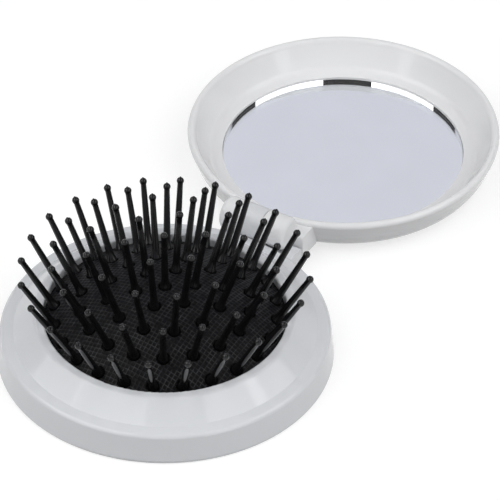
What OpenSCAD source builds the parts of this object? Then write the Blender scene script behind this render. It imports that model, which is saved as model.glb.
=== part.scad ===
// Folding hairbrush with a mirror in its lid, shown open and lying flat.
// Round base with a snap-through rubber dome that carries rings of ball-ended pins.
// Millimetres. X is along the hinge, +Y runs from the base to the lid, Z is up from the table.

/* [Shown] */
// Piece to draw, or all of them

/* [Base housing] */
// Outer radius of the base
base_radius = 34; // [28:0.5:45]
// Draw-in of the side wall towards the band
base_draft = 0.6; // [0.2:0.1:1]
// Height of the flat band at its outer edge
base_edge_height = 6.8; // [6:0.05:9]
// Rounding between side wall and band
base_edge_rounding = 0.95; // [0.4:0.05:1.6]
// Rounding at the foot of the side wall
base_foot_rounding = 0.8; // [0.3:0.1:1.2]
// Side wall where the bottom cover fits in
base_wall = 1.8; // [1.2:0.1:3]
// Step inside the wall that the bottom cover stops against
cover_step = 0.7; // [0.4:0.1:1.2]
// Width of the band that the lid's lip closes on
band_width = 2.75; // [2:0.05:4]
// Rise of the band from its outer edge to the crease
band_rise = 0.15; // [0:0.05:0.6]
// Height of the raised bezel at its crest
bezel_height = 10.8; // [9.5:0.1:13]
// Width of band and bezel, from the side wall to the opening that the dome stands in
bezel_width = 9.5; // [8.5:0.1:11]
// Width of the flat land on top of the bezel
crest_width = 1.9; // [1.5:0.1:2.4]
// Rounding of the land's edge at the opening
crest_rounding = 0.4; // [0.2:0.1:0.8]
// Rounding between the land and the bezel's flank
shoulder_rounding = 1; // [0.5:0.1:1.5]
// Depth from the land to the shelf that the dome's flange seats on
shelf_depth = 2.45; // [1.8:0.05:3]
// Thickness of the band above the hollow
bezel_skin = 1.2; // [0.9:0.1:1.6]

/* [Bottom cover] */
// Thickness of the cover plate
cover_thickness = 1.5; // [1:0.1:2.5]
// Set-back of the cover above the table
cover_recess = 0.5; // [0.2:0.1:1]
// Radius of the window for the thumb
window_radius = 17.5; // [15:0.5:22]
// Gap round the cover
cover_clearance = 0.1; // [0.05:0.05:0.3]
// Wall of the standing rib that presses the clamp ring
press_rib_wall = 1.6; // [1:0.1:2.2]
// Number of stiffening ribs outside the standing rib
stiffener_count = 8; // [4:1:12]
// Thickness of a stiffening rib
stiffener_wall = 1; // [0.6:0.1:1.6]
// Height of a stiffening rib above the plate
stiffener_height = 2.2; // [1:0.1:3]

/* [Rubber dome] */
// Thickness of the rubber
dome_thickness = 0.8; // [0.6:0.05:1.2]
// Height of the dome's surface above the shelf, at the opening
dome_edge_rise = 0.75; // [0.3:0.05:1]
// Radius of curvature of the crown
crown_curve = 36.2; // [30:0.2:60]
// Distance from the axis where the crown ends
crown_reach = 14; // [8:0.1:16]
// Radius of curvature of the skirt
skirt_curve = 72.8; // [50:0.1:90]
// Width of the flange under the bezel
flange_width = 2.2; // [1.8:0.1:2.6]
// Thickness of the flange
flange_thickness = 1.1; // [0.8:0.05:1.4]
// Height of the clamp ring
clamp_height = 1.2; // [0.8:0.1:2]
// Seating gap between stacked pieces
seat_gap = 0.05; // [0.02:0.01:0.1]
// Radius of the holes that the pins come through
pin_hole_radius = 1.45; // [1.35:0.05:1.6]

/* [Pins] */
// Length from the dome's surface to the centre of the ball
pin_length = 12.85; // [9:0.05:15]
// Radius of the ball
ball_radius = 0.76; // [0.6:0.02:1]
// Shaft radius below the ball
shaft_top_radius = 0.58; // [0.45:0.01:0.7]
// Shaft radius above the foot
shaft_foot_radius = 0.74; // [0.6:0.01:0.9]
// Radius of the foot at the dome's surface
foot_radius = 1.15; // [0.95:0.05:1.25]
// Height of the tapered foot
foot_height = 2.2; // [1.5:0.1:4]
// Radius of the head behind the rubber
head_radius = 1.85; // [1.75:0.05:1.9]
// Thickness of the head
head_thickness = 0.35; // [0.25:0.05:0.6]
// Distance from the dome's edge to the outer ring of feet; the rings lie evenly over the dome
outer_ring_margin = 2; // [2:0.05:3]
// Turn of the pin pattern against the hinge
pattern_turn = 10.1; // [0:0.1:15]

/* [Lid] */
// Set-back of the lid's lip from the base's side wall
lid_setback = 1; // [0.5:0.1:1.2]
// Height of the lid from its back to its lip
lid_height = 8.9; // [8:0.1:12]
// Rounding of the lip
lip_rounding = 0.85; // [0.6:0.05:1.1]
// Rounding of the lid's back
lid_back_rounding = 6.6; // [2:0.1:7]
// Draw-in of the lid's wall towards its back
lid_draft = 0.95; // [0.4:0.05:1.5]
// Thickness of the lid's floor under the mirror
lid_floor = 0.8; // [0.7:0.1:1]
// Height of the ledge round the mirror
ledge_height = 3; // [2.8:0.1:4]
// Distance from the lip's outer edge to the foot of the dished wall
dish_width = 4.8; // [4.5:0.1:6]
// Hollow between dished wall and ledge
dish_fillet = 1.5; // [0.8:0.1:2]

/* [Mirror] */
// Distance from the lip's outer edge to the mirror
mirror_margin = 7.5; // [7.4:0.05:11]
// Thickness of the mirror's silvered glass
mirror_thickness = 1.55; // [1:0.05:1.7]
// Thickness of the sticky pad behind the mirror
sticky_thickness = 0.15; // [0.1:0.05:0.3]
// Set-back of the sticky pad's edge
sticky_inset = 1.2; // [0.5:0.1:3]
// Gap round the mirror
mirror_clearance = 0.1; // [0.05:0.01:0.15]

/* [Hinge] */
// Distance of the hinge axis outside the base's side wall
hinge_standoff = 2.3; // [2.2:0.1:4]
// Gap between the shut lid's lip and the band
shut_gap = 1.1; // [0.9:0.05:1.4]
// Radius of the knuckles
knuckle_radius = 3.6; // [3.2:0.05:3.8]
// Half the length of the middle knuckle
middle_half = 2.3; // [1.8:0.1:3]
// Side gap between knuckles
knuckle_gap = 0.15; // [0.1:0.01:0.3]
// Outer end of the left knuckle
left_end = 7.4; // [6.5:0.1:8]
// Outer end of the right knuckle
right_end = 7.9; // [7:0.1:8.2]
// Rounding of the outer knuckle ends
knuckle_rounding = 1.1; // [0.5:0.1:1.4]
// Clearance round the knuckles
sweep_gap = 0.3; // [0.2:0.05:0.5]
// Radius of the steel pin
pin_rod_radius = 0.75; // [0.6:0.05:1]
// Running gap round the steel pin
rod_gap = 0.03; // [0.02:0.01:0.06]
// Depth of the steel pin's ends inside the outer knuckles
rod_inset = 0.6; // [0.3:0.1:1]
// Outer side of the cheek beside the right knuckle
cheek_end = 10.4; // [9.8:0.1:11.5]
// Height of the cheek
cheek_height = 5.7; // [5:0.1:6.2]
// Height of the lug's underside above the table
lug_foot = 1; // [0.5:0.1:1.5]
// Reach of the base's lug past the hinge axis
lug_reach = 0.6; // [0.3:0.1:0.8]
// Corner rounding of the lugs
lug_rounding = 0.9; // [0.4:0.1:1.2]
// Height of the lid's lug above the table
lid_lug_foot = 2.6; // [2.2:0.1:3]
// Depth of the lid's lug below the lip
lid_lug_drop = 0.95; // [0.8:0.05:1.6]

/* [Hidden] */
$fn = 96;
tiny = 0.01;
white = [0.86, 0.86, 0.87];
black = [0.07, 0.07, 0.08];
steel = [0.75, 0.76, 0.78];

rim_radius = base_radius - base_draft;
bezel_opening = base_radius - bezel_width;
lid_radius = base_radius - lid_setback;
mirror_radius = lid_radius - mirror_margin;
dish_foot_radius = lid_radius - dish_width;
hinge_reach = base_radius + hinge_standoff;

// The whole open brush is centred front to back: each half lies one hinge reach from the axis
base_y = -(2 * hinge_reach + lid_radius - base_radius) / 2;
hinge_y = base_y + hinge_reach;
lid_y = hinge_y + hinge_reach;

crease_radius = rim_radius - band_width;
crease_height = base_edge_height + band_rise;
shelf_height = bezel_height - shelf_depth;
crest_x = bezel_opening + crest_rounding;
crest_z = bezel_height - crest_rounding;
bezel_slope = atan2(bezel_height - crease_height, crease_radius - bezel_opening - crest_width);
shoulder_x = bezel_opening + crest_width - shoulder_rounding * tan(bezel_slope / 2);
shoulder_z = bezel_height - shoulder_rounding;
wall_lean = atan2(base_draft, base_edge_height - base_edge_rounding - base_foot_rounding);
inner_wall_radius = base_radius - base_wall - cover_step;
cover_seat = cover_recess + cover_thickness + seat_gap;
cover_top = cover_recess + cover_thickness;

dome_radius = bezel_opening - cover_clearance;
dome_edge = shelf_height + dome_edge_rise;
flange_radius = bezel_opening + flange_width;
pocket_radius = flange_radius + 2 * cover_clearance;
flange_top = shelf_height - seat_gap;
flange_foot = flange_top - flange_thickness;
clamp_top = flange_foot - seat_gap;
clamp_foot = clamp_top - clamp_height;
clamp_inner = bezel_opening + 4 * cover_clearance;
press_rib_top = clamp_foot - seat_gap;
press_rib_inner = clamp_inner + 3 * cover_clearance;

// Slope of the dome's surface and its fall from the crown, at a distance r from the axis
crown_end = asin(crown_reach / crown_curve);
function slope(r) = r <= crown_reach ? asin(r / crown_curve)
    : asin(sin(crown_end) + (r - crown_reach) / skirt_curve);
function fall(r) = r <= crown_reach ? crown_curve * (1 - cos(slope(r)))
    : crown_curve * (1 - cos(crown_end)) + skirt_curve * (cos(crown_end) - cos(slope(r)));
dome_top = dome_edge + fall(dome_radius);
function dome_z(r) = dome_top - fall(r);
function underside(r) = dome_z(r) - dome_thickness / cos(slope(r));
dome_steps = 14;

// Distance along the dome's surface from its crown, and the radius at such a distance
crown_run = crown_curve * crown_end * PI / 180;
function run(r) = r <= crown_reach ? crown_curve * slope(r) * PI / 180
    : crown_run + skirt_curve * (slope(r) - crown_end) * PI / 180;
function radius_at(s) = s <= crown_run ? crown_curve * sin(s / crown_curve * 180 / PI)
    : crown_reach + skirt_curve * (sin(crown_end + (s - crown_run) / skirt_curve * 180 / PI) - sin(crown_end));
ring_pitch = run(dome_radius - outer_ring_margin) / 4;
function ring_radius(k) = radius_at(k * ring_pitch);
function dome_r(i) = dome_radius * i / dome_steps;

head_seat = dome_thickness + seat_gap + pow(head_radius, 2) / (2 * (crown_curve - dome_thickness));

lip_x = lid_radius - lip_rounding;
lip_z = lid_height - lip_rounding;
lid_back_x = lid_radius - lid_draft - lid_back_rounding;
lid_lean = atan2(lip_x + lip_rounding - lid_back_x - lid_back_rounding, lip_z - lid_back_rounding);
dish_top = lip_x - lip_rounding;
// The dished wall runs tangent into the lip's rounding
lip_away = norm([lip_x - dish_foot_radius, lip_z - ledge_height]);
dish_lean = atan2(lip_z - ledge_height, lip_x - dish_foot_radius) + asin(lip_rounding / lip_away);
dish_run = dish_fillet * tan(dish_lean / 2);
recess_radius = mirror_radius + mirror_clearance;
mirror_foot = lid_floor + sticky_thickness;

// The shut lid's lip stands on the band, so the axis lies half way between the open and the shut lip
band_at_lip = base_edge_height
    + band_rise * (rim_radius - base_edge_rounding - lip_x)
        / (rim_radius - base_edge_rounding - crease_radius);
hinge_height = (lid_height + band_at_lip + shut_gap) / 2;

knuckle_sweep = knuckle_radius + sweep_gap;
barrel_foot = hinge_height - knuckle_radius;
lug_top = barrel_foot - sweep_gap;
outer_start = middle_half + knuckle_gap;
lid_lug_top = lid_height - lid_lug_drop;
rod_start = -left_end + rod_inset;
rod_end = right_end - knuckle_rounding - rod_inset;

// ---- shared forms ----

module on_base()
{
    translate([0, base_y, 0]) children();
}

module on_lid()
{
    translate([0, lid_y, 0]) children();
}

// Turns a revolved form so that its axis lies on the hinge axis, starting at x
module on_axis(x)
{
    translate([x, hinge_y, hinge_height]) rotate([0, 90, 0]) children();
}

// A profile drawn in Y and Z, made solid between two X values
module along_x(x0, x1)
{
    translate([x0, 0, 0])
        rotate([90, 0, 90])
            linear_extrude(height = x1 - x0) children();
}

module rounded_box_2d(x0, y0, x1, y1, r)
{
    translate([x0 + r, y0]) square([x1 - x0 - 2 * r, y1 - y0]);
    translate([x0, y0 + r]) square([x1 - x0, y1 - y0 - 2 * r]);
    for (x = [x0 + r, x1 - r], y = [y0 + r, y1 - r])
        translate([x, y]) circle(r = r);
}

// Knuckle with its far end rounded over
module knuckle(length, rounding)
{
    rotate_extrude() {
        square([knuckle_radius - rounding, length]);
        square([knuckle_radius, length - rounding]);
        translate([knuckle_radius - rounding, length - rounding])
            intersection() {
                circle(r = rounding);
                square([rounding, rounding]);
            }
    }
}

// ---- base ----

module base_profile()
{
    edge = base_edge_rounding;
    foot = base_foot_rounding;
    difference() {
        union() {
            polygon([
                [bezel_opening, shelf_height],
                [base_radius - base_wall - cover_step - 2 * foot, 0],
                [base_radius - foot, 0],
                [base_radius - foot, foot],
                [base_radius - foot + foot * cos(wall_lean), foot + foot * sin(wall_lean)],
                [rim_radius - edge + edge * cos(wall_lean),
                    base_edge_height - edge + edge * sin(wall_lean)],
                [rim_radius - edge, base_edge_height - edge],
                [rim_radius - edge, base_edge_height],
                [crease_radius, crease_height],
                [shoulder_x + shoulder_rounding * sin(bezel_slope),
                    shoulder_z + shoulder_rounding * cos(bezel_slope)],
                [shoulder_x, shoulder_z],
                [shoulder_x, bezel_height],
                [crest_x, bezel_height],
                [crest_x, crest_z],
                [bezel_opening, crest_z]
            ]);
            translate([base_radius - foot, foot]) circle(r = foot);
            translate([rim_radius - edge, base_edge_height - edge]) circle(r = edge);
            translate([shoulder_x, shoulder_z]) circle(r = shoulder_rounding);
            translate([crest_x, crest_z]) circle(r = crest_rounding);
        }
        // hollow for flange, clamp ring and cover
        polygon([
            [0, -1],
            [base_radius - base_wall, -1],
            [base_radius - base_wall, cover_seat],
            [inner_wall_radius, cover_seat],
            [inner_wall_radius, base_edge_height - bezel_skin],
            [pocket_radius, flange_foot + seat_gap],
            [pocket_radius, shelf_height],
            [0, shelf_height]
        ]);
    }
}

module base_lug()
{
    inner = inner_wall_radius + cover_step - 0.5;
    // low block under the knuckles
    along_x(-left_end, cheek_end)
        rounded_box_2d(base_y + inner - 3, lug_foot, hinge_y + lug_reach, lug_top, lug_rounding);
    // cheek beside the right knuckle
    along_x(right_end + sweep_gap, cheek_end)
        rounded_box_2d(base_y + inner - 3, lug_foot, hinge_y + lug_reach, cheek_height, lug_rounding);
    // middle knuckle on its neck
    along_x(-middle_half, middle_half)
        translate([base_y + inner - 1, lug_foot + lug_rounding])
            square([hinge_reach - inner + 1, crease_height - lug_foot - lug_rounding - 1]);
    on_axis(-middle_half) cylinder(r = knuckle_radius, h = 2 * middle_half);
}

module base_housing()
{
    color(white)
    difference() {
        union() {
            on_base() rotate_extrude($fn = 160) base_profile();
            difference() {
                base_lug();
                on_base() translate([0, 0, -1]) cylinder(r = base_radius - base_wall, h = bezel_height + 2, $fn = 160);
            }
        }
        // room for the lid's knuckles to turn
        on_axis(-left_end - sweep_gap) cylinder(r = knuckle_sweep, h = left_end + sweep_gap - middle_half);
        on_axis(middle_half) cylinder(r = knuckle_sweep, h = right_end + sweep_gap - middle_half);
        // bore for the rod
        on_axis(-middle_half - 1) cylinder(r = pin_rod_radius + rod_gap, h = 2 * middle_half + 2);
    }
}

module bottom_cover()
{
    color(white)
    on_base() {
        rotate_extrude($fn = 160) {
            difference() {
                union() {
                    translate([window_radius + cover_thickness / 2, cover_recess])
                        square([base_radius - base_wall - cover_clearance - window_radius - cover_thickness / 2,
                            cover_thickness]);
                    // rounded rim of the window
                    translate([window_radius + cover_thickness / 2, cover_recess + cover_thickness / 2])
                        circle(r = cover_thickness / 2);
                }
                translate([base_radius - base_wall - cover_clearance - 0.4, cover_recess - 0.4])
                    rotate(45) square([2, 0.6], center = true);
            }
            // standing rib under the clamp ring
            translate([press_rib_inner, cover_top - tiny])
                square([press_rib_wall, press_rib_top - cover_top + tiny]);
        }
        for (i = [0 : stiffener_count - 1])
            rotate(i * 360 / stiffener_count)
                translate([press_rib_inner + press_rib_wall - tiny, -stiffener_wall / 2, cover_top - tiny])
                    cube([inner_wall_radius - 3 * cover_clearance - press_rib_inner - press_rib_wall,
                        stiffener_wall, min(stiffener_height, press_rib_top - cover_top) + tiny]);
    }
}

module clamp_ring()
{
    color(white)
    on_base()
        rotate_extrude($fn = 160)
            translate([clamp_inner, clamp_foot])
                square([flange_radius - clamp_inner, clamp_height]);
}

module dome_profile()
{
    polygon(concat(
        [for (i = [0 : dome_steps]) [dome_r(i), dome_z(dome_r(i))]],
        [
            [dome_radius, flange_top],
            [flange_radius, flange_top],
            [flange_radius, flange_foot],
            [dome_radius - dome_thickness, flange_foot],
            [dome_radius - dome_thickness, underside(dome_radius - dome_thickness)]
        ],
        [for (i = [dome_steps - 1 : -1 : 0]) [dome_r(i), underside(dome_r(i))]]
    ));
}

// Places one pin on the dome, square to its surface
module at_pin(r, turn)
{
    rotate(turn)
        translate([r, 0, dome_z(r)])
            rotate([0, slope(r), 0]) children();
}

// Each ring holds six pins more than the one inside it
module at_ring(k)
{
    for (i = [0 : 6 * k - 1])
        at_pin(ring_radius(k), 90 + pattern_turn + i * 60 / k) children();
}

module rubber_dome()
{
    color(black)
    on_base()
    difference() {
        rotate_extrude($fn = 120) dome_profile();
        union() {
            at_pin(0, 0) pin_hole();
            at_ring(1) pin_hole();
            at_ring(2) pin_hole();
            at_ring(3) pin_hole();
            at_ring(4) pin_hole();
        }
    }
}

module pin_hole()
{
    translate([0, 0, -2 * dome_thickness])
        cylinder(r = pin_hole_radius, h = 3 * dome_thickness, $fn = 32);
}

// One pin: head behind the rubber, tapered foot, slim shaft and ball
module bristle_pin()
{
    rotate_extrude($fn = 24) {
        polygon([
            [0, -head_seat - head_thickness],
            [head_radius, -head_seat - head_thickness],
            [head_radius, -head_seat],
            [foot_radius, -head_seat],
            [foot_radius, 0],
            [shaft_foot_radius, foot_height],
            [shaft_top_radius, pin_length],
            [0, pin_length]
        ]);
        translate([0, pin_length])
            intersection() {
                circle(r = ball_radius);
                translate([0, -ball_radius]) square([ball_radius, 2 * ball_radius]);
            }
    }
}

module pin_centre()
{
    color(black) on_base() at_pin(0, 0) bristle_pin();
}

module pins_ring_1()
{
    color(black) on_base() at_ring(1) bristle_pin();
}

module pins_ring_2()
{
    color(black) on_base() at_ring(2) bristle_pin();
}

module pins_ring_3()
{
    color(black) on_base() at_ring(3) bristle_pin();
}

module pins_ring_4()
{
    color(black) on_base() at_ring(4) bristle_pin();
}

// ---- lid ----

module lid_outline()
{
    polygon([
        [0, 0],
        [lid_back_x, 0],
        [lid_back_x, lid_back_rounding],
        [lid_back_x + lid_back_rounding * cos(lid_lean), lid_back_rounding * (1 - sin(lid_lean))],
        [lip_x + lip_rounding * cos(lid_lean), lip_z - lip_rounding * sin(lid_lean)],
        [lip_x, lip_z],
        [dish_top, lip_z],
        [0, lip_z]
    ]);
    translate([lid_back_x, lid_back_rounding])
        intersection() {
            circle(r = lid_back_rounding);
            translate([0, -lid_back_rounding]) square([lid_back_rounding, lid_back_rounding]);
        }
    translate([lip_x, lip_z]) circle(r = lip_rounding);
}

// Room inside the lid: dished wall, hollow fillet, ledge and the recess for the mirror
module lid_room()
{
    polygon([
        [0, ledge_height],
        [dish_foot_radius - dish_run, ledge_height],
        [dish_foot_radius - dish_run, ledge_height + dish_fillet],
        [dish_foot_radius + dish_run * cos(dish_lean), ledge_height + dish_run * sin(dish_lean)],
        [lip_x - lip_rounding * sin(dish_lean), lip_z + lip_rounding * cos(dish_lean)],
        [lip_x - lip_rounding * sin(dish_lean), lid_height + tiny],
        [0, lid_height + tiny]
    ]);
    translate([dish_foot_radius - dish_run, ledge_height + dish_fillet]) circle(r = dish_fillet);
    translate([0, lid_floor]) square([recess_radius, ledge_height - lid_floor + tiny]);
}

module lid_knuckles()
{
    on_axis(outer_start) knuckle(right_end - outer_start, knuckle_rounding);
    mirror([1, 0, 0]) on_axis(outer_start) knuckle(left_end - outer_start, knuckle_rounding);
}

module lid_lug()
{
    near = hinge_y + lug_reach + sweep_gap;
    along_x(-left_end, cheek_end)
        rounded_box_2d(near, lid_lug_foot, lid_y - lid_radius + 4, lid_lug_top, lug_rounding);
}

module lid_shell()
{
    color(white)
    difference() {
        union() {
            on_lid()
                rotate_extrude($fn = 160)
                    difference() {
                        lid_outline();
                        lid_room();
                    }
            difference() {
                lid_lug();
                on_lid() translate([0, 0, -1]) cylinder(r = dish_top + tiny, h = lid_height + 2, $fn = 160);
            }
            lid_knuckles();
        }
        // room for the base's middle knuckle
        on_axis(-outer_start) cylinder(r = knuckle_sweep, h = 2 * outer_start);
        // bore for the rod, open at the left end
        on_axis(-left_end - 1) cylinder(r = pin_rod_radius + rod_gap, h = rod_end + left_end + 1 + seat_gap);
    }
}

module mirror_glass()
{
    color([0.8, 0.82, 0.88])
    on_lid()
        translate([0, 0, mirror_foot])
            cylinder(r = mirror_radius, h = mirror_thickness, $fn = 160);
}

module mirror_sticky_pad()
{
    color([0.5, 0.5, 0.5])
    on_lid()
        translate([0, 0, lid_floor])
            cylinder(r = mirror_radius - sticky_inset, h = sticky_thickness, $fn = 160);
}

module hinge_rod()
{
    color(steel)
    on_axis(rod_start) cylinder(r = pin_rod_radius, h = rod_end - rod_start, $fn = 48);
}

base_housing();
bottom_cover();
clamp_ring();
rubber_dome();
pin_centre();
pins_ring_1();
pins_ring_2();
pins_ring_3();
pins_ring_4();
hinge_rod();
lid_shell();
mirror_glass();
mirror_sticky_pad();
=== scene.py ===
"""Looks of the open folding hairbrush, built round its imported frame. Metres; sizes named in millimetres."""

import math
import random

import bpy
from mathutils import Matrix, Vector
from mathutils.geometry import delaunay_2d_cdt

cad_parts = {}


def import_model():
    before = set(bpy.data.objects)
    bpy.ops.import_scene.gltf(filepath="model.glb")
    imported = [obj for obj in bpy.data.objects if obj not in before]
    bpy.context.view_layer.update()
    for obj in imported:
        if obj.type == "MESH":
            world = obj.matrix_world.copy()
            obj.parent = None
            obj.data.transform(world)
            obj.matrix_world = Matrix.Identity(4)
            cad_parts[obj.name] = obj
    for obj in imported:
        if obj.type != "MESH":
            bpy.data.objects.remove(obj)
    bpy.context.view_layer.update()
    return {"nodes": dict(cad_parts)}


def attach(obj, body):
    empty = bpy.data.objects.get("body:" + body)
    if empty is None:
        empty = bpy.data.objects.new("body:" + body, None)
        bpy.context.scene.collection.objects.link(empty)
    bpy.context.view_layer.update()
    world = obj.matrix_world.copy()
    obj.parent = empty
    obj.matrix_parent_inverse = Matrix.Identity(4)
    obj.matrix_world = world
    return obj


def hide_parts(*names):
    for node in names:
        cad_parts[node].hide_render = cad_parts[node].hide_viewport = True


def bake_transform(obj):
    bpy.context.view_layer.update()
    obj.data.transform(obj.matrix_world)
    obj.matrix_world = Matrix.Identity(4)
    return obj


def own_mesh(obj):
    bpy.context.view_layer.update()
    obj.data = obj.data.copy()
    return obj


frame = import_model()
scene = bpy.context.scene
MM = 0.001

# ---- sizes that the part's source names or works out, in millimetres ----
BASE_Y, LID_Y = -35.8, 36.8
CROWN_CURVE, CROWN_REACH, SKIRT_CURVE = 36.2, 14.0, 72.8
DOME_RADIUS, DOME_EDGE, RUBBER = 24.4, 9.1, 0.8
FLANGE_RADIUS, FLANGE_TOP, FLANGE_FOOT = 26.7, 8.3, 7.2
HOLE_RADIUS, RING_COUNT, RING_MARGIN, PATTERN_TURN = 1.45, 4, 2.0, 10.1
PIN_LENGTH, BALL_RADIUS = 12.85, 0.76
SHAFT_TOP, SHAFT_FOOT, FOOT_RADIUS, FOOT_HEIGHT = 0.58, 0.74, 1.15, 2.2
HEAD_RADIUS, HEAD_THICKNESS, HEAD_SEAT = 1.85, 0.35, 0.898
MIRROR_RADIUS, MIRROR_FOOT = 25.5, 0.95
LIP_X, LIP_Z, LIP_ROUNDING = 32.15, 8.05, 0.85
DISH_FOOT, LEDGE = 28.2, 3.0

# ---- sizes that only this scene has, in millimetres ----
TILE, RIDGE = 0.86, 0.1  # pitch and height of the rubber's lattice of ridges
# the ridges' grey set by these widths is a painted highlight
LINE_CORE, LINE_EDGE = 0.02, 0.12  # a ridge's grey is full up to the first and gone at the second
GATE_MARK = ((0.16, 0.0), (0.12, 0.1), (0.0, 0.12))  # radius and height above the ball
SHAFT_STOP = 0.62  # from the ball's centre down to the shaft's last ring
BOW = 0.12  # usual sideways bend of a pin at its ball

# ---- dome form, as in the source ----
CROWN_END = math.asin(CROWN_REACH / CROWN_CURVE)


def slope(r):
    """Lean of the dome's surface at a distance from its axis, in radians."""
    if r <= CROWN_REACH:
        return math.asin(r / CROWN_CURVE)
    return math.asin(math.sin(CROWN_END) + (r - CROWN_REACH) / SKIRT_CURVE)


def fall(r):
    """How far the surface lies below the top of the dome."""
    if r <= CROWN_REACH:
        return CROWN_CURVE * (1 - math.cos(slope(r)))
    return CROWN_CURVE * (1 - math.cos(CROWN_END)) + SKIRT_CURVE * (math.cos(CROWN_END) - math.cos(slope(r)))


DOME_TOP = DOME_EDGE + fall(DOME_RADIUS)


def dome_z(r):
    return DOME_TOP - fall(r)


def run(r):
    """Distance along the dome's surface from its crown."""
    if r <= CROWN_REACH:
        return CROWN_CURVE * slope(r)
    return CROWN_CURVE * CROWN_END + SKIRT_CURVE * (slope(r) - CROWN_END)


def radius_at(s):
    """Distance from the axis after a run of s along the surface."""
    if s <= CROWN_CURVE * CROWN_END:
        return CROWN_CURVE * math.sin(s / CROWN_CURVE)
    turn = CROWN_END + (s - CROWN_CURVE * CROWN_END) / SKIRT_CURVE
    return CROWN_REACH + SKIRT_CURVE * (math.sin(turn) - math.sin(CROWN_END))


RING_PITCH = run(DOME_RADIUS - RING_MARGIN) / RING_COUNT
RING_RADIUS = [radius_at(k * RING_PITCH) for k in range(RING_COUNT + 1)]


def pin_places():
    """(ring, turn in radians, foot radius) of all pins; each ring holds six more than the one inside it."""
    places = [(0, 0.0, 0.0)]
    for k in range(1, RING_COUNT + 1):
        for i in range(6 * k):
            places.append((k, math.radians(90 + PATTERN_TURN + i * 60 / k), RING_RADIUS[k]))
    return places


def pin_frame(turn, r):
    """Matrix of a pin, in millimetres from the base's centre: its foot on the dome, its axis square to it."""
    return (
        Matrix.Rotation(turn, 4, "Z")
        @ Matrix.Translation((r, 0, dome_z(r)))
        @ Matrix.Rotation(slope(r), 4, "Y")
    )


# ---- materials ----
def shader(name, **sockets):
    """A new material with its node tree and its Principled node; sockets are written with underscores."""
    material = bpy.data.materials.new(name)
    material.use_nodes = True
    bsdf = material.node_tree.nodes["Principled BSDF"]
    for socket, value in sockets.items():
        bsdf.inputs[socket.replace("_", " ")].default_value = value
    return material, material.node_tree, bsdf


def put(tree, kind, inputs=None, **settings):
    """A new shader node; each input takes a value or the output of another node."""
    node = tree.nodes.new("ShaderNode" + kind)
    for key, value in settings.items():
        setattr(node, key, value)
    for key, value in (inputs or {}).items():
        if isinstance(value, bpy.types.NodeSocket):
            tree.links.new(value, node.inputs[key])
        else:
            node.inputs[key].default_value = value
    return node


def calc(tree, operation, *values):
    """Result of a Math node."""
    return put(tree, "Math", dict(enumerate(values)), operation=operation).outputs[0]


def noise(tree, place, scale, detail=2.0, roughness=0.5):
    return put(
        tree, "TexNoise", {"Vector": place, "Scale": scale, "Detail": detail, "Roughness": roughness}
    ).outputs["Fac"]


def spread(tree, value, low, high, start=0.3, end=0.7):
    """Maps start..end, the usual range of noise, onto low..high."""
    return put(
        tree,
        "MapRange",
        {"Value": value, "From Min": start, "From Max": end, "To Min": low, "To Max": high},
    ).outputs["Result"]


def blend_colour(tree, factor, first, second):
    """Mix of two colours; the Mix node's colour sockets share their names, so they go by number."""
    node = put(tree, "Mix", data_type="RGBA")
    tree.links.new(factor, node.inputs[0])
    node.inputs[6].default_value = (*first, 1)
    node.inputs[7].default_value = (*second, 1)
    return node.outputs[2]


def paint(tree, bsdf, factor, first, second):
    """Base colour between first and second."""
    tree.links.new(blend_colour(tree, factor, first, second), bsdf.inputs["Base Color"])


def roughen(tree, bsdf, value, low, high):
    """Roughness between low and high."""
    tree.links.new(spread(tree, value, low, high), bsdf.inputs["Roughness"])


def bump(tree, bsdf, height, strength, distance):
    node = put(tree, "Bump", {"Height": height, "Strength": strength, "Distance": distance})
    tree.links.new(node.outputs["Normal"], bsdf.inputs["Normal"])


def plastic(name, colour, shade, rough=(0.06, 0.08), grain=0.002):
    """Moulded plastic: a trace of cloudiness, slightly uneven gloss and a fine skin."""
    material, tree, bsdf = shader(name, Specular_IOR_Level=0.37, IOR=1.49)
    place = put(tree, "TexCoord").outputs["Object"]
    paint(tree, bsdf, spread(tree, noise(tree, place, scale=25), 0, 1), colour, shade)
    roughen(tree, bsdf, noise(tree, place, scale=60), *rough)
    bump(tree, bsdf, noise(tree, place, scale=1500, detail=3), strength=grain, distance=0.0002)
    return material


def rubber():
    """Black rubber; the lattice of ridges is painted a little greyer in patches, a painted highlight for the
    light that the ridges catch.
    """
    material, tree, bsdf = shader("black_rubber", Specular_IOR_Level=0.1)
    coordinates = put(tree, "TexCoord").outputs
    place = coordinates["Object"]
    parts = put(tree, "SeparateXYZ", {0: place}).outputs
    ridges = None
    for axis, centre in (("X", 0.0), ("Y", BASE_Y * MM)):
        shifted = calc(tree, "SUBTRACT", parts[axis], centre)
        away = calc(tree, "PINGPONG", shifted, TILE * MM / 2)
        line = spread(tree, away, 1, 0, LINE_CORE * MM, LINE_EDGE * MM)
        ridges = line if ridges is None else calc(tree, "MAXIMUM", ridges, line)
    # only the outside has ridges
    upward = put(tree, "SeparateXYZ", {0: coordinates["Normal"]}).outputs["Z"]
    ridges = calc(tree, "MULTIPLY", ridges, calc(tree, "GREATER_THAN", upward, 0.0))
    patches = spread(tree, noise(tree, place, scale=520, detail=4, roughness=0.7), 0, 1, 0.36, 0.68)
    # painted highlight: the ridge lines are painted greyer in patches, standing in for the light they catch
    ridge_highlight = calc(tree, "MULTIPLY", ridges, patches)
    paint(tree, bsdf, ridge_highlight, (0.0042, 0.0042, 0.0050), (0.055, 0.055, 0.058))
    roughen(tree, bsdf, noise(tree, place, scale=900, detail=4), 0.36, 0.5)
    bump(tree, bsdf, noise(tree, place, scale=6000, detail=3), strength=0.08, distance=0.0001)
    return material


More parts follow.
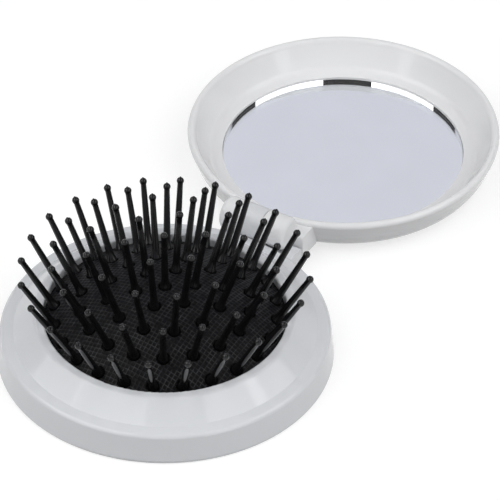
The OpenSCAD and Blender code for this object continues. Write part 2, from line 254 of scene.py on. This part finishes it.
def nylon():
    """Glossy black nylon of the pins."""
    material, tree, bsdf = shader("black_nylon", Specular_IOR_Level=0.4)
    place = put(tree, "TexCoord").outputs["Object"]
    shade = spread(tree, noise(tree, place, scale=350, detail=3), 0, 1)
    paint(tree, bsdf, shade, (0.0045, 0.0045, 0.005), (0.0065, 0.0065, 0.0072))
    roughen(tree, bsdf, noise(tree, place, scale=400), 0.09, 0.13)
    bump(tree, bsdf, noise(tree, place, scale=1200), strength=0.01, distance=0.0001)
    return material


def metal(name, colour, rough, grain, scale=(1, 1, 1)):
    """Metal with a faint bloom; scale draws its grain out along an axis."""
    material, tree, bsdf = shader(name, Metallic=1.0)
    place = put(tree, "TexCoord").outputs["Object"]
    stretched = put(tree, "Mapping", {"Vector": place, "Scale": scale}).outputs["Vector"]
    darker = tuple(c * 0.97 for c in colour)
    paint(tree, bsdf, spread(tree, noise(tree, place, scale=90, detail=3), 0, 1), colour, darker)
    roughen(tree, bsdf, noise(tree, stretched, scale=1800, detail=3), *rough)
    bump(tree, bsdf, noise(tree, stretched, scale=1500), strength=grain, distance=0.0001)
    return material


def glass():
    """Clear glass of the mirror's pane, with a trace of green."""
    material, tree, bsdf = shader("mirror_glass", Transmission_Weight=1.0, IOR=1.5)
    place = put(tree, "TexCoord").outputs["Object"]
    tint = spread(tree, noise(tree, place, scale=20, detail=1), 0, 1)
    paint(tree, bsdf, tint, (0.985, 0.995, 0.99), (0.98, 0.99, 0.985))
    roughen(tree, bsdf, noise(tree, place, scale=30, detail=1), 0.0, 0.004)
    return material


def foam():
    """Foam tape behind the mirror."""
    material, tree, bsdf = shader("sticky_foam", Roughness=0.9)
    place = put(tree, "TexCoord").outputs["Object"]
    cells = spread(tree, noise(tree, place, scale=3000), 0, 1)
    paint(tree, bsdf, cells, (0.85, 0.84, 0.80), (0.72, 0.71, 0.68))
    bump(tree, bsdf, cells, strength=0.3, distance=0.0001)
    return material


white_plastic = plastic("white_plastic", (0.716, 0.729, 0.752), (0.709, 0.722, 0.746))
lid_plastic = plastic("lid_plastic", (0.816, 0.818, 0.827), (0.809, 0.811, 0.820))
clamp_plastic = plastic("clamp_plastic", (0.72, 0.72, 0.73), (0.68, 0.68, 0.69), (0.4, 0.55), grain=0.08)
steel = metal("steel", (0.62, 0.62, 0.64), rough=(0.22, 0.38), grain=0.1, scale=(0.1, 1, 1))
silver = metal("silver", (0.90, 0.92, 0.95), rough=(0.0, 0.004), grain=0.0)
mirror, black_rubber, black_nylon, sticky_foam = glass(), rubber(), nylon(), foam()

FINISH = {
    "base_housing": white_plastic,
    "bottom_cover": white_plastic,
    "clamp_ring": clamp_plastic,
    "hinge_rod": steel,
    "lid_shell": lid_plastic,
    "mirror_glass": mirror,
    "mirror_sticky_pad": sticky_foam,
}
for name, finish in FINISH.items():
    data = frame["nodes"][name].data
    data.materials.clear()
    data.materials.append(finish)


# ---- meshes ----
def turns(count):
    """Angles of a circle's even steps, in radians."""
    return [2 * math.pi * k / count for k in range(count)]


def new_piece(name, vertices, faces, finish, smooth=True):
    """A mesh from points in millimetres measured from the base's centre on the table."""
    mesh = bpy.data.meshes.new(name)
    mesh.from_pydata([(x * MM, (y + BASE_Y) * MM, z * MM) for x, y, z in vertices], [], faces)
    mesh.validate()
    mesh.update()
    mesh.polygons.foreach_set("use_smooth", [smooth] * len(mesh.polygons))
    mesh.materials.append(finish)
    piece = bpy.data.objects.new(name, mesh)
    scene.collection.objects.link(piece)
    return piece


# ---- the dome's skin ----
TILE_STEPS = 5  # steps of the skin's grid in one pitch of the lattice
EDGE_COUNT, HOLE_COUNT = 180, 28  # points round the dome's edge and round a hole
UNDERSIDE_RINGS = 24
RIM_MARGIN, HOLE_MARGIN = 0.12, 0.1  # grid points keep this far from the dome's edge and the holes
CUT_MARGIN = 0.02  # a face is in a hole once its middle is this far inside
HOLE_WINDOW = 2.2  # a point further off than this, along x or y, is in no hole
HOLE_SINK = 0.03  # the holes' edges lie this much below the dome's surface
SOCKET = ((0.05, -0.12), (0.06, -0.66), (0.25, -0.72))  # draw-in and height of a socket's lower rings
WELD = 1e-7  # points closer than this are one


def relief(i, j):
    """Height of the lattice of fine ridges at a grid point."""
    return RIDGE if i % TILE_STEPS == 0 or j % TILE_STEPS == 0 else 0.0


def rubber_dome():
    """Rubber dome: the lattice outside, the pins' sockets, the smooth underside and the clamped flange."""
    step = TILE / TILE_STEPS
    reach = int(DOME_RADIUS / step) + 1
    holes = []
    for _, turn, r in pin_places():
        matrix = pin_frame(turn, r)
        centre = matrix.translation
        holes.append((centre.x, centre.y, math.cos(turn), math.sin(turn), math.cos(slope(r)), matrix))

    def in_hole(x, y, margin):
        for cx, cy, c, s, lean, _ in holes:
            dx, dy = x - cx, y - cy
            if abs(dx) > HOLE_WINDOW or abs(dy) > HOLE_WINDOW:
                continue
            u, v = (dx * c + dy * s) / lean, -dx * s + dy * c
            if math.hypot(u, v) < HOLE_RADIUS + margin:
                return True
        return False

    # the surface as seen from above: grid points, then the edge, then the holes
    flat, height = [], []
    for i in range(-reach, reach + 1):
        for j in range(-reach, reach + 1):
            x, y = i * step, j * step
            r = math.hypot(x, y)
            if r > DOME_RADIUS - RIM_MARGIN or in_hole(x, y, HOLE_MARGIN):
                continue
            flat.append(Vector((x, y)))
            height.append(dome_z(r) - RIDGE + relief(i, j))
    edges = []
    rim_start = len(flat)
    for k, a in enumerate(turns(EDGE_COUNT)):
        flat.append(Vector((DOME_RADIUS * math.cos(a), DOME_RADIUS * math.sin(a))))
        height.append(DOME_EDGE)
        edges.append((rim_start + k, rim_start + (k + 1) % EDGE_COUNT))
    hole_starts = []
    for cx, cy, c, s, lean, _ in holes:
        start = len(flat)
        hole_starts.append(start)
        for k, a in enumerate(turns(HOLE_COUNT)):
            u, v = HOLE_RADIUS * math.cos(a) * lean, HOLE_RADIUS * math.sin(a)
            x, y = cx + u * c - v * s, cy + u * s + v * c
            flat.append(Vector((x, y)))
            height.append(dome_z(math.hypot(x, y)) - HOLE_SINK)
            edges.append((start + k, start + (k + 1) % HOLE_COUNT))
    found, _, triangles, origin, _, _ = delaunay_2d_cdt(flat, edges, [], 0, WELD)
    assert len(found) == len(flat)
    index = [o[0] for o in origin]
    vertices = [None] * len(flat)
    for place, o in zip(found, index):
        vertices[o] = (place.x, place.y, height[o])
    faces = []
    for t in triangles:
        points = [found[v] for v in t]
        mx, my = sum(p.x for p in points) / 3, sum(p.y for p in points) / 3
        if math.hypot(mx, my) < DOME_RADIUS and not in_hole(mx, my, -CUT_MARGIN):
            faces.append([index[v] for v in t])
    # sockets: a short lip, a wall and a floor just inside the underside
    for (*_, matrix), start in zip(holes, hole_starts):
        above = [start + k for k in range(HOLE_COUNT)]
        for inset, rise in SOCKET:
            below = []
            for a in turns(HOLE_COUNT):
                radius = HOLE_RADIUS - inset
                below.append(len(vertices))
                vertices.append(tuple(matrix @ Vector((radius * math.cos(a), radius * math.sin(a), rise))))
            for k in range(HOLE_COUNT):
                n = (k + 1) % HOLE_COUNT
                faces.append([above[k], above[n], below[n], below[k]])
            above = below
        faces.append(above)
    # edge, flange and underside
    inner_radii = [DOME_RADIUS - RUBBER]
    inner_radii += [DOME_RADIUS * k / UNDERSIDE_RINGS for k in range(UNDERSIDE_RINGS - 1, 0, -1)]
    profile = [
        (DOME_RADIUS, FLANGE_TOP),
        (FLANGE_RADIUS, FLANGE_TOP),
        (FLANGE_RADIUS, FLANGE_FOOT),
        (DOME_RADIUS - RUBBER, FLANGE_FOOT),
    ]
    profile += [(r, dome_z(r) - RUBBER / math.cos(slope(r))) for r in inner_radii]
    above = [rim_start + k for k in range(EDGE_COUNT)]
    for r, z in profile:
        below = []
        for a in turns(EDGE_COUNT):
            below.append(len(vertices))
            vertices.append((r * math.cos(a), r * math.sin(a), z))
        for k in range(EDGE_COUNT):
            n = (k + 1) % EDGE_COUNT
            faces.append([above[n], above[k], below[k], below[n]])
        above = below
    vertices.append((0, 0, DOME_TOP - RUBBER))
    for k in range(EDGE_COUNT):
        faces.append([above[(k + 1) % EDGE_COUNT], above[k], len(vertices) - 1])
    return new_piece("rubber_dome_skin", vertices, faces, black_rubber)


# ---- the pins ----
PIN_SIDES = 20
HEAD_LOW_EDGE, HEAD_TOP_EDGE = (0.15, 0.12), (0.05, 0.03)  # how the head's edges are broken, across and up
FOOT_SUNK = 0.05  # the foot's taper starts this far below the dome's surface
FOOT_STEPS, SHAFT_STEPS, BALL_STEPS = 8, 5, 9
FOOT_HOLLOW = 1.7  # how hollow the foot's taper is; 1 is straight
BALL_END = 75  # where the ball gives way to the gate mark, in degrees above its equator
BOW_CURVE = 1.3  # a bent shaft's curve; 1 is a straight lean


def pin_profile():
    """Radius and height along a pin, from the head behind the rubber to the top of the ball."""
    head_foot = -HEAD_SEAT - HEAD_THICKNESS
    points = [
        (0.0, head_foot),
        (HEAD_RADIUS - HEAD_LOW_EDGE[0], head_foot),
        (HEAD_RADIUS, head_foot + HEAD_LOW_EDGE[1]),
        (HEAD_RADIUS, -HEAD_SEAT - HEAD_TOP_EDGE[1]),
        (HEAD_RADIUS - HEAD_TOP_EDGE[0], -HEAD_SEAT),
        (FOOT_RADIUS, -HEAD_SEAT),
        (FOOT_RADIUS, -FOOT_SUNK),
    ]
    # hollow taper of the foot into the shaft
    for k in range(1, FOOT_STEPS + 1):
        t = k / FOOT_STEPS
        points.append((SHAFT_FOOT + (FOOT_RADIUS - SHAFT_FOOT) * (1 - t) ** FOOT_HOLLOW, FOOT_HEIGHT * t))
    shaft_length = PIN_LENGTH - SHAFT_STOP - FOOT_HEIGHT
    for k in range(1, SHAFT_STEPS + 1):
        t = k / SHAFT_STEPS
        points.append((SHAFT_FOOT + (SHAFT_TOP - SHAFT_FOOT) * t, FOOT_HEIGHT + shaft_length * t))
    low = -math.acos(SHAFT_TOP / BALL_RADIUS)
    for k in range(1, BALL_STEPS + 1):
        a = low + (math.radians(BALL_END) - low) * k / BALL_STEPS
        points.append((BALL_RADIUS * math.cos(a), PIN_LENGTH + BALL_RADIUS * math.sin(a)))
    points += [(r, PIN_LENGTH + BALL_RADIUS + rise) for r, rise in GATE_MARK]
    return points


def add_pin(vertices, faces, matrix, bow):
    """Appends one pin; bow bends its shaft sideways by that many millimetres at the ball."""
    rows = []
    for r, z in pin_profile():
        rise = max(0.0, z / PIN_LENGTH)
        shift = Vector((bow[0] * rise ** BOW_CURVE, bow[1] * rise ** BOW_CURVE, 0))
        if r == 0.0:
            rows.append([len(vertices)])
            vertices.append(tuple(matrix @ (Vector((0, 0, z)) + shift)))
            continue
        row = []
        for a in turns(PIN_SIDES):
            row.append(len(vertices))
            vertices.append(tuple(matrix @ (Vector((r * math.cos(a), r * math.sin(a), z)) + shift)))
        rows.append(row)
    for low, high in zip(rows, rows[1:]):
        for k in range(PIN_SIDES):
            n = (k + 1) % PIN_SIDES
            if len(low) == 1:
                faces.append([low[0], high[n], high[k]])
            elif len(high) == 1:
                faces.append([low[k], low[n], high[0]])
            else:
                faces.append([low[k], low[n], high[n], high[k]])


# ---- smooth steps by which skin and pins would follow the pushed-in dome; bend only bakes each piece in place ----
def smooth_step(z, low, high):
    t = min(1.0, max(0.0, (z - low) / (high - low)))
    return t * t * (3 - 2 * t)


def share_at(weight):
    """Where along a smooth step its value is weight."""
    return 0.5 - math.sin(math.asin(1 - 2 * weight) / 3)


def step_between(z0, w0, z1, w1):
    """Start and end heights of a smooth step that has the value w0 at z0 and w1 at z1."""
    t0, t1 = share_at(w0), share_at(w1)
    length = (z1 - z0) / (t1 - t0)
    return z0 - t0 * length, z0 + (1 - t0) * length


def bend(piece, low, high):
    """Bakes the piece's placement into its mesh; low and high, where it would follow the base and the
    pushed-in dome, are not used.
    """
    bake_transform(piece)


DOME_BEND = (8.9, 18.5)
# How far the balls of each inner ring go down with the dome, as shares of its travel
BALL_SHARE = {0: 1.0, 1: 1.0, 2: 0.87, 3: 0.70}
RING_NODE = ["pin_centre", "pins_ring_1", "pins_ring_2", "pins_ring_3", "pins_ring_4"]
FIRST_OUTER = 1 + sum(6 * k for k in range(1, RING_COUNT))  # number of the outer ring's first pin

skin = rubber_dome()
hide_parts("rubber_dome")
bend(skin, *DOME_BEND)

dice = random.Random(61)
shapes = {k: ([], []) for k in range(RING_COUNT)}
for number, (ring, turn, r) in enumerate(pin_places()):
    matrix = pin_frame(turn, r)
    bow = (dice.gauss(0, BOW), dice.gauss(0, BOW))
    if ring < RING_COUNT:
        add_pin(*shapes[ring], matrix, bow)
        continue
    # the outer pins stand over the bezel, so they draw in along their own length
    vertices, faces = [], []
    add_pin(vertices, faces, matrix, bow)
    name = f"pin_outer_{number - FIRST_OUTER + 1:02d}"
    pin = new_piece(name, vertices, faces, black_nylon)
    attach(pin, "base")
    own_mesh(pin)
    if number == FIRST_OUTER:
        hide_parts(RING_NODE[RING_COUNT])
for ring, (vertices, faces) in shapes.items():
    name = f"pins_inner_{ring}" if ring else "pin_middle"
    pins = new_piece(name, vertices, faces, black_nylon)
    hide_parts(RING_NODE[ring])
    r = RING_RADIUS[ring]
    foot_z = dome_z(r)
    ball_z = foot_z + PIN_LENGTH * math.cos(slope(r))
    bend(pins, *step_between(foot_z, smooth_step(foot_z, *DOME_BEND), ball_z, BALL_SHARE[ring]))


# ---- the lid's silver and lip ----
SILVER_SIDES, BLEND_SIDES = 160, 240
SILVER_INSET, SILVER_SUNK, SILVER_THICKNESS = 0.02, 0.03, 0.02


def silvering():
    """Silver on the back of the mirror's glass, sunk into it so that no air lies between."""
    radius, top = MIRROR_RADIUS - SILVER_INSET, MIRROR_FOOT + SILVER_SUNK
    points = [
        (radius * math.cos(a), LID_Y - BASE_Y + radius * math.sin(a), z)
        for z in (top, top - SILVER_THICKNESS)
        for a in turns(SILVER_SIDES)
    ]
    sides = [
        (k, k + SILVER_SIDES, (k + 1) % SILVER_SIDES + SILVER_SIDES, (k + 1) % SILVER_SIDES)
        for k in range(SILVER_SIDES)
    ]
    caps = [tuple(range(SILVER_SIDES)), tuple(range(2 * SILVER_SIDES - 1, SILVER_SIDES - 1, -1))]
    piece = new_piece("mirror_silver", points, sides + caps, silver, smooth=False)
    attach(piece, "lid")


def lip_blend():
    """A thin ring over the groove that the lid's solid has between its dished wall and the lip's rounding."""
    across, climb = LIP_X - DISH_FOOT, LIP_Z - LEDGE
    lean = math.atan2(climb, across) + math.asin(LIP_ROUNDING / math.hypot(across, climb))
    touch = (LIP_X - LIP_ROUNDING * math.sin(lean), LIP_Z + LIP_ROUNDING * math.cos(lean))
    length = (touch[1] - LIP_Z) / math.sin(lean)  # the wall's part beside the rounding

    def on_wall(back, lift):
        """A point back along the wall from where it touches the rounding, lifted off the wall."""
        return (
            touch[0] - back * math.cos(lean) - lift * math.sin(lean),
            touch[1] - back * math.sin(lean) + lift * math.cos(lean),
        )

    def on_lip(turn, lift):
        """A point on the rounding, turned on by some degrees from the wall and lifted off it."""
        a = lean - math.radians(turn)
        return LIP_X - (LIP_ROUNDING + lift) * math.sin(a), LIP_Z + (LIP_ROUNDING + lift) * math.cos(a)

    # both ends dip just under the lid's own surface; the last two points are inside the lip
    profile = [
        on_wall(length + 0.14, -0.02),
        on_wall(length + 0.05, 0.008),
        on_wall(length * 0.5, 0.01),
        on_lip(0, 0.01),
        on_lip(5, 0.008),
        on_lip(12, -0.02),
        (LIP_X - 0.55, LIP_Z),
        (LIP_X - 0.85, LIP_Z - 0.15),
    ]
    vertices = [
        (r * math.cos(a), LID_Y - BASE_Y + r * math.sin(a), z) for a in turns(BLEND_SIDES) for r, z in profile
    ]
    count = len(profile)
    faces = []
    for k in range(BLEND_SIDES):
        this, after = k * count, (k + 1) % BLEND_SIDES * count
        for i in range(count):
            j = (i + 1) % count
            faces.append((this + i, this + j, after + j, after + i))
    piece = new_piece("lid_lip_blend", vertices, faces, lid_plastic)
    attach(piece, "lid")


silvering()
lip_blend()

# ---- camera, as in the photograph ----
YAW, PITCH, ROLL = 0.5273, -0.6861, -0.0058
CAMERA_PLACE = (0.359427, -0.619471, 0.587833)
FOCAL_PIXELS, PICTURE_PIXELS, SENSOR = 4468.34, 500, 36

turned = Matrix.Rotation(YAW, 3, "Z") @ Matrix.Rotation(PITCH, 3, "X") @ Matrix.Rotation(ROLL, 3, "Y")
right, forward, up = (turned.col[k] for k in range(3))
camera_data = bpy.data.cameras.new("camera")
camera = bpy.data.objects.new("camera", camera_data)
scene.collection.objects.link(camera)
scene.camera = camera
camera_data.sensor_width = SENSOR
camera_data.lens = FOCAL_PIXELS * SENSOR / PICTURE_PIXELS
camera_data.clip_start, camera_data.clip_end = 0.01, 20
axes = Matrix((right, up, -forward)).transposed().to_4x4()
camera.matrix_world = Matrix.Translation(CAMERA_PLACE) @ axes

# ---- floor and light ----
TO_CAMERA = Vector((math.sin(YAW), -math.cos(YAW), 0))
TO_RIGHT = Vector((math.cos(YAW), math.sin(YAW), 0))
FLOOR_HALF, FLOOR_GREY, FLOOR_GLOW = 3.0, 0.43, 0.66
CARD_DISTANCE, CARD_GREY = 0.8, 0.03
SKY_LIGHT = 0.12
PAPER_START, PAPER_FULL = 0.52, 0.64  # cosines of the angles over which the room gives way to the paper


def around(azimuth, elevation, distance):
    """A point round the object; azimuth 0 is on the camera's side and grows to its right."""
    a, e = math.radians(azimuth), math.radians(elevation)
    return (TO_CAMERA * math.cos(a) + TO_RIGHT * math.sin(a)) * (math.cos(e) * distance) + Vector(
        (0, 0, math.sin(e) * distance)
    )


def facing(place):
    """Rotation of a lamp or card at place that looks at the object."""
    return (-place).to_track_quat("-Z", "Y").to_euler()


def matt(name, grey):
    """A matt grey material, without gloss."""
    return shader(name, Base_Color=(grey, grey, grey, 1), Roughness=1.0, Specular_IOR_Level=0.0)


def sheet(name, x, y):
    """A flat rectangle that reaches x and y to each side of its middle."""
    mesh = bpy.data.meshes.new(name)
    mesh.from_pydata([(-x, -y, 0), (x, -y, 0), (x, y, 0), (-x, y, 0)], [], [(0, 1, 2, 3)])
    thing = bpy.data.objects.new(name, mesh)
    scene.collection.objects.link(thing)
    return thing


def floor():
    """Pale floor, which glows for the rays that show it and so comes out white."""
    thing = sheet("floor", FLOOR_HALF, FLOOR_HALF)
    material, tree, bsdf = matt("floor", FLOOR_GREY)
    rays = put(tree, "LightPath").outputs
    seen = calc(tree, "MAXIMUM", rays["Is Camera Ray"], rays["Is Glossy Ray"])
    seen = calc(tree, "MAXIMUM", seen, rays["Is Transmission Ray"])
    strength = calc(tree, "MULTIPLY", seen, FLOOR_GLOW)
    glow = put(tree, "Emission", {"Color": (1, 1, 1, 1), "Strength": strength})
    both = put(tree, "AddShader", {0: bsdf.outputs[0], 1: glow.outputs[0]})
    tree.links.new(both.outputs[0], tree.nodes["Material Output"].inputs["Surface"])
    thing.data.materials.append(material)


def world():
    """White behind the object, a weak even light, and surroundings of their own for gloss and glass."""
    sky = bpy.data.worlds.new("studio")
    scene.world = sky
    sky.use_nodes = True
    tree = sky.node_tree
    tree.nodes.clear()
    rays = put(tree, "LightPath").outputs
    light = put(tree, "Background", {"Color": (0.96, 0.975, 1.0, 1), "Strength": SKY_LIGHT})
    # gloss and glass show pale paper behind the object and behind the camera, and a dim room to the sides
    direction = put(tree, "TexCoord").outputs["Generated"]
    dot = put(tree, "VectorMath", {0: direction, 1: tuple(-TO_CAMERA)}, operation="DOT_PRODUCT")
    sweep = spread(tree, calc(tree, "ABSOLUTE", dot.outputs["Value"]), 0, 1, PAPER_START, PAPER_FULL)
    surroundings = blend_colour(tree, sweep, (0.10, 0.10, 0.105), (0.70, 0.70, 0.757))
    mirrored = put(tree, "Background", {"Color": surroundings, "Strength": 1.0})
    backdrop = put(tree, "Background", {"Color": (1, 1, 1, 1), "Strength": 1.0})
    reflected = calc(tree, "MAXIMUM", rays["Is Glossy Ray"], rays["Is Transmission Ray"])
    first = put(tree, "MixShader", {0: reflected, 1: light.outputs[0], 2: mirrored.outputs[0]})
    second = put(tree, "MixShader", {0: rays["Is Camera Ray"], 1: first.outputs[0], 2: backdrop.outputs[0]})
    out = put(tree, "OutputWorld")
    tree.links.new(second.outputs[0], out.inputs["Surface"])


def soft_box(name, at, size, radiance, distance=1.0, kind="light", forward=0.0):
    """An area lamp that faces the object from an azimuth and an elevation.

    A light shines on matt surfaces and is seen through glass, but not in gloss. A patch is seen in gloss
    alone. A flash shines on matt surfaces and is seen in gloss. Forward shifts the lamp towards the camera.
    """
    width, height = size
    lamp = bpy.data.lights.new(name, "AREA")
    lamp.shape = "RECTANGLE"
    lamp.size, lamp.size_y = width, height
    lamp.energy = radiance * math.pi * width * height
    thing = bpy.data.objects.new(name, lamp)
    place = around(*at, distance)
    thing.location = place + TO_CAMERA * forward
    thing.rotation_euler = facing(place)
    thing.visible_glossy = kind != "light"
    thing.visible_diffuse = kind != "patch"
    thing.visible_transmission = kind == "light"
    scene.collection.objects.link(thing)


def dark_card(name, at, size):
    """A black studio card that only gloss and glass show; it takes no light from the object."""
    width, height = size
    thing = sheet(name, width / 2, height / 2)
    place = around(*at, CARD_DISTANCE)
    thing.location = place
    thing.rotation_euler = facing(place)
    thing.data.materials.append(matt(name, CARD_GREY)[0])
    thing.visible_camera = False
    thing.visible_diffuse = False
    thing.visible_shadow = False


floor()
world()
soft_box("soft_box_right", at=(66, 45), size=(1.3, 1.3), radiance=1.5)
soft_box("soft_box_left", at=(-70, 45), size=(1.3, 1.3), radiance=1.42)
soft_box("fill", at=(0, 28), size=(1.0, 0.8), radiance=0.45, distance=1.2)
soft_box("patch_right", at=(90, 44.5), size=(1.45, 0.77), radiance=1.8, kind="patch", forward=0.22)
soft_box("patch_left", at=(-90, 50.5), size=(1.45, 0.98), radiance=1.9, kind="patch", forward=0.22)
soft_box("flash_right", at=(76, 42.5), size=(0.14, 0.14), radiance=2.4, distance=0.9, kind="flash")
soft_box("flash_left", at=(-76, 43), size=(0.14, 0.14), radiance=2.8, distance=0.9, kind="flash")
dark_card("card_front", at=(-3, 41), size=(0.55, 0.22))
dark_card("card_right", at=(118, 34), size=(0.45, 0.5))
dark_card("card_left", at=(-123, 34), size=(0.45, 0.5))

scene.view_settings.view_transform = "Standard"
